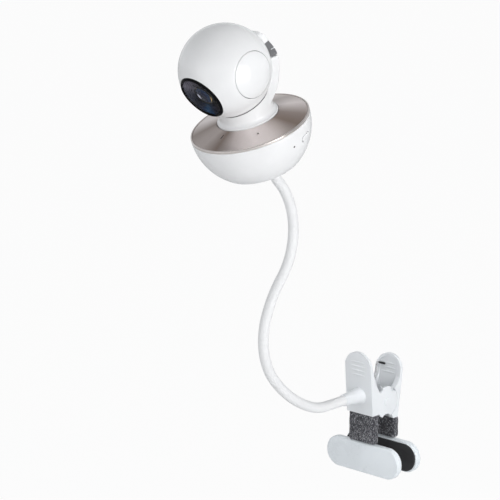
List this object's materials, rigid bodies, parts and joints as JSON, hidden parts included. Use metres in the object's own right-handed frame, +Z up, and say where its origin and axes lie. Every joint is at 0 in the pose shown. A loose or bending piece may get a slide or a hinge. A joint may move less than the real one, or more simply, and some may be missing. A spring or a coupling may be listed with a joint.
{
  "type": "baby monitor camera",
  "caption": "Baby monitor camera: a pan and tilt ball camera on a round base, carried by a bendable neck on a sprung rail clip.",
  "frame": {"origin": "centre of the front pad's rubber face, where it presses against the rail", "axes": "+X along the rail, +Y from the front pad through the rail to the rear pad, -Y into the room where the lens looks, +Z up"},
  "size_m": [0.1, 0.2557, 0.4206],
  "materials": {
    "white_gloss": "smooth gloss ABS",
    "white_satin": "satin ABS",
    "pearl": "pearl gloss ring",
    "neck_skin": "soft smooth elastomer over a bendable core",
    "light_grey": "satin",
    "champagne": "satin champagne",
    "black_gloss": "high gloss",
    "dark_window": "coated dark window",
    "lens_glass": "coated lens",
    "black_plastic": "moulded",
    "clear_lamp": "clear",
    "circuit_green": "solder mask",
    "grey_plastic": "moulded",
    "acetal": "natural acetal",
    "motor_steel": "plated can",
    "steel": "ground",
    "chrome": "bright spring wire",
    "brass": "turned",
    "rubber": "matte",
    "knit": "black and white heather knit"
  },
  "bodies": {
    "clip": {"front_jaw": "white_satin", "pivot_pin": "steel", "torsion_spring": "chrome", "front_sleeve": "knit", "front_pad": "white_gloss", "front_pad_grip": "rubber", "neck_boss": "white_satin", "neck_segment_1": "neck_skin"},
    "rear_jaw": {"rear_jaw": "white_satin", "rear_sleeve": "knit", "rear_pad": "white_gloss", "rear_pad_grip": "rubber"},
    "neck_2": {"neck_segment_2": "neck_skin"},
    "neck_3": {"neck_segment_3": "neck_skin"},
    "neck_4": {"neck_segment_4": "neck_skin"},
    "neck_5": {"neck_segment_5": "neck_skin"},
    "neck_6": {"neck_segment_6": "neck_skin"},
    "base": {"neck_segment_7": "neck_skin", "neck_ferrule": "light_grey", "neck_stud": "steel", "threaded_insert": "brass", "bowl_shell": "white_gloss", "foot_ring": "rubber", "rim_ring": "pearl", "top_plate": "champagne", "status_light": "clear_lamp", "microphone": "motor_steel", "pan_bush": "acetal", "main_board": "circuit_green", "speaker": "black_plastic", "power_inlet": "black_plastic", "power_light": "clear_lamp", "pan_motor": "motor_steel"},
    "power_button": {"power_button": "white_gloss"},
    "pair_button": {"pair_button": "white_gloss"},
    "pan_pinion": {"pan_pinion": "acetal"},
    "yoke": {"yoke": "white_gloss", "pan_gear": "acetal", "tilt_bracket": "grey_plastic", "tilt_axle": "steel", "tilt_gear": "acetal", "antenna_pin": "steel"},
    "antenna": {"antenna_core": "grey_plastic", "antenna_cap": "white_gloss"},
    "ball": {"ball_shell": "white_gloss", "ball_rear_cover": "white_gloss", "side_cap_left": "white_gloss", "side_cap_right": "white_gloss", "lens_bezel": "black_gloss", "lens_window": "dark_window", "lens_barrel": "black_plastic", "lens_glass": "lens_glass", "ir_board": "circuit_green", "ir_lights": "clear_lamp", "image_board": "circuit_green", "ball_chassis": "grey_plastic", "tilt_motor": "motor_steel"},
    "tilt_pinion": {"tilt_pinion": "acetal"}
  },
  "joints": [
    {"name": "jaw_hinge", "type": "hinge", "parent": "clip", "child": "rear_jaw", "pos_m": [0, 0.009, 0.052], "axis": [1, 0, 0], "range_deg": [-15, 30], "stiffness_Nm_per_rad": 0.8, "springref_deg": -34.38, "deforming": ["torsion_spring"]},
    {"name": "neck_bend_1", "type": "hinge", "parent": "clip", "child": "neck_2", "pos_m": [0, -0.07088, 0.06153], "axis": [1, 0, 0], "range_deg": [-35, 35]},
    {"name": "neck_bend_2", "type": "hinge", "parent": "neck_2", "child": "neck_3", "pos_m": [0, -0.10949, 0.08199], "axis": [0, -0.6241, -0.7813], "range_deg": [-35, 35]},
    {"name": "neck_bend_3", "type": "hinge", "parent": "neck_3", "child": "neck_4", "pos_m": [0, -0.13661, 0.11594], "axis": [1, 0, 0], "range_deg": [-35, 35]},
    {"name": "neck_bend_4", "type": "hinge", "parent": "neck_4", "child": "neck_5", "pos_m": [0, -0.13504, 0.15884], "axis": [0, -0.9206, 0.3906], "range_deg": [-35, 35]},
    {"name": "neck_bend_5", "type": "hinge", "parent": "neck_5", "child": "neck_6", "pos_m": [0, -0.11096, 0.19545], "axis": [1, 0, 0], "range_deg": [-35, 35]},
    {"name": "neck_bend_6", "type": "hinge", "parent": "neck_6", "child": "base", "pos_m": [0, -0.10408, 0.23791], "axis": [0, -0.9785, -0.2062], "range_deg": [-35, 35]},
    {"name": "pan", "type": "hinge", "parent": "base", "child": "yoke", "pos_m": [0, -0.15682, 0.32246], "axis": [0, -0.3795, 0.9252], "range_deg": [-150, 150]},
    {"name": "tilt", "type": "hinge", "parent": "yoke", "child": "ball", "pos_m": [-0.0007, -0.18465, 0.36693], "axis": [0.9969, -0.0726, -0.0298], "range_deg": [-35, 15]},
    {"name": "antenna_fold", "type": "hinge", "parent": "yoke", "child": "antenna", "pos_m": [0.00264, -0.14504, 0.38197], "axis": [0.9969, -0.0726, -0.0298], "range_deg": [-90, 0]},
    {"name": "power_press", "type": "slide", "parent": "base", "child": "power_button", "axis": [-0.9441, -0.2955, 0.1462], "range_m": [0, 0.001], "stiffness_N_per_m": 400},
    {"name": "pair_press", "type": "slide", "parent": "base", "child": "pair_button", "axis": [0.9441, -0.2955, 0.1462], "range_m": [0, 0.001], "stiffness_N_per_m": 400},
    {"name": "pan_pinion_spin", "type": "hinge", "parent": "base", "child": "pan_pinion", "pos_m": [0.023, -0.15682, 0.32246], "axis": [0, -0.3795, 0.9252], "range_deg": [-345, 345]},
    {"name": "tilt_pinion_spin", "type": "hinge", "parent": "ball", "child": "tilt_pinion", "pos_m": [-0.00029, -0.18838, 0.38962], "axis": [0.9969, -0.0726, -0.0298], "range_deg": [-81, 36]}
  ],
  "couplings": [
    {"joint": "pan_pinion_spin", "follows": "pan", "ratio": -2.2857},
    {"joint": "tilt_pinion_spin", "follows": "tilt", "ratio": 2.2857}
  ]
}
